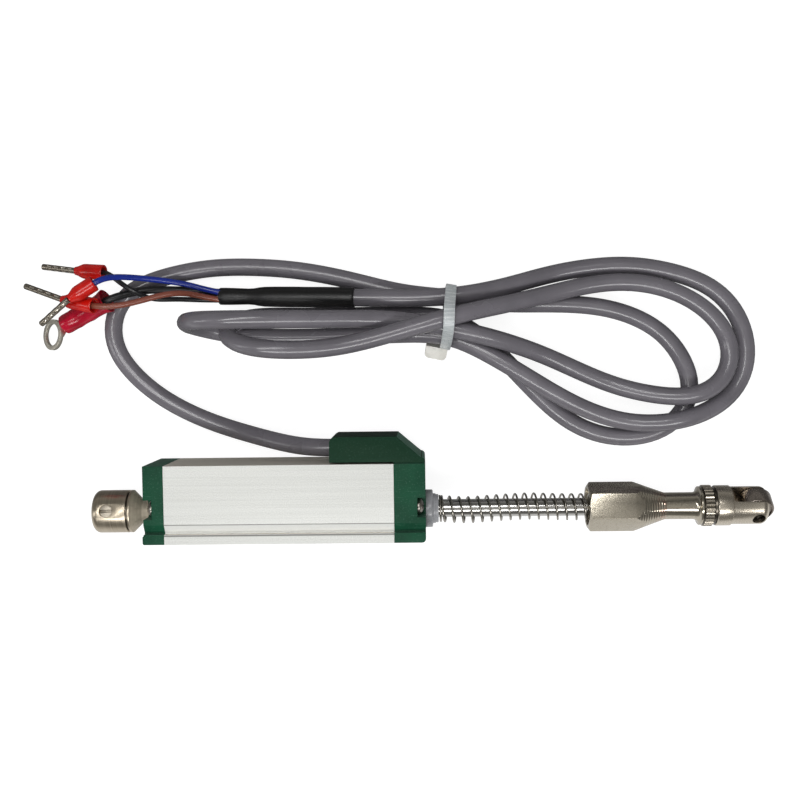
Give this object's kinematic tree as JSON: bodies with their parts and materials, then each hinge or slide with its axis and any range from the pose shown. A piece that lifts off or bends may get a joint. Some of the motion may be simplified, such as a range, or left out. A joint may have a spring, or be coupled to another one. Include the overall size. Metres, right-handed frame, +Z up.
{
  "type": "linear displacement sensor",
  "caption": "Square potentiometer housing with a spring-returned push rod, a ball-bearing roller tip, a rear stop, clamp grooves and a tied cable with crimped leads.",
  "frame": {"origin": "on the surface that the sensor lies on, under the middle of the housing's length and width", "axes": "+X along the push rod towards the roller, +Y from the base flange towards the cable outlet, +Z up from the side face that the sensor lies on"},
  "size_m": [0.1757, 0.0661, 0.0224],
  "materials": {
    "cap_plastic": "fine texture",
    "housing_alloy": "satin anodised",
    "seal_rubber": "matt",
    "bush_plastic": "moulded",
    "steel": "ground",
    "nickel": "nickel plated",
    "bearing_steel": "polished",
    "board": "laminate",
    "track_ink": "printed",
    "collector_ink": "printed",
    "contact_alloy": "sprung",
    "carriage_plastic": "moulded",
    "lead_insulation": "extruded",
    "cable_jacket": "extruded",
    "sleeve_black": "shrunk",
    "blue_insulation": "extruded",
    "black_insulation": "extruded",
    "brown_insulation": "extruded",
    "collar_red": "moulded",
    "lug_red": "translucent",
    "tinned_copper": "tinned",
    "tie_nylon": "translucent"
  },
  "bodies": {
    "housing": {"housing_tube": "housing_alloy", "rear_cap": "cap_plastic", "front_cap": "cap_plastic", "rear_seal": "seal_rubber", "front_seal": "seal_rubber", "rear_bush": "bush_plastic", "front_bush": "bush_plastic", "rear_cap_screws": "steel", "front_cap_screws": "steel", "track_board": "board", "resistive_track": "track_ink", "collector_track": "collector_ink", "board_terminals": "tinned_copper", "inner_leads": "lead_insulation", "return_spring": "steel", "cable": "cable_jacket", "heat_shrink": "sleeve_black", "tie_strap": "tie_nylon", "tie_head": "tie_nylon", "blue_lead": "blue_insulation", "black_lead": "black_insulation", "brown_lead": "brown_insulation", "screen_lead": "sleeve_black", "ferrule_collars": "collar_red", "ferrule_pins": "tinned_copper", "ring_terminal": "tinned_copper", "ring_terminal_sleeve": "lug_red"},
    "rod": {"push_rod": "steel", "rear_stop": "steel", "grub_screw": "steel", "spring_cup": "nickel", "lock_ring": "nickel", "roller_fork": "nickel", "roller_pin": "steel", "roller_inner_ring": "bearing_steel", "wiper_carriage": "carriage_plastic", "wiper_springs": "contact_alloy", "carriage_circlips": "steel"},
    "roller": {"roller_outer_ring": "bearing_steel", "roller_balls": "bearing_steel", "roller_shields": "bearing_steel"}
  },
  "joints": [
    {"name": "rod_slide", "type": "slide", "parent": "housing", "child": "rod", "axis": [-1, 0, 0], "range_m": [0, 0.025], "stiffness_N_per_m": 180, "springref_m": -0.012, "deforming": ["return_spring"]},
    {"name": "roller_spin", "type": "hinge", "parent": "rod", "child": "roller", "pos_m": [0.1091, -0.0025, 0.009], "axis": [0, -0.6691, 0.7431], "continuous": true}
  ]
}
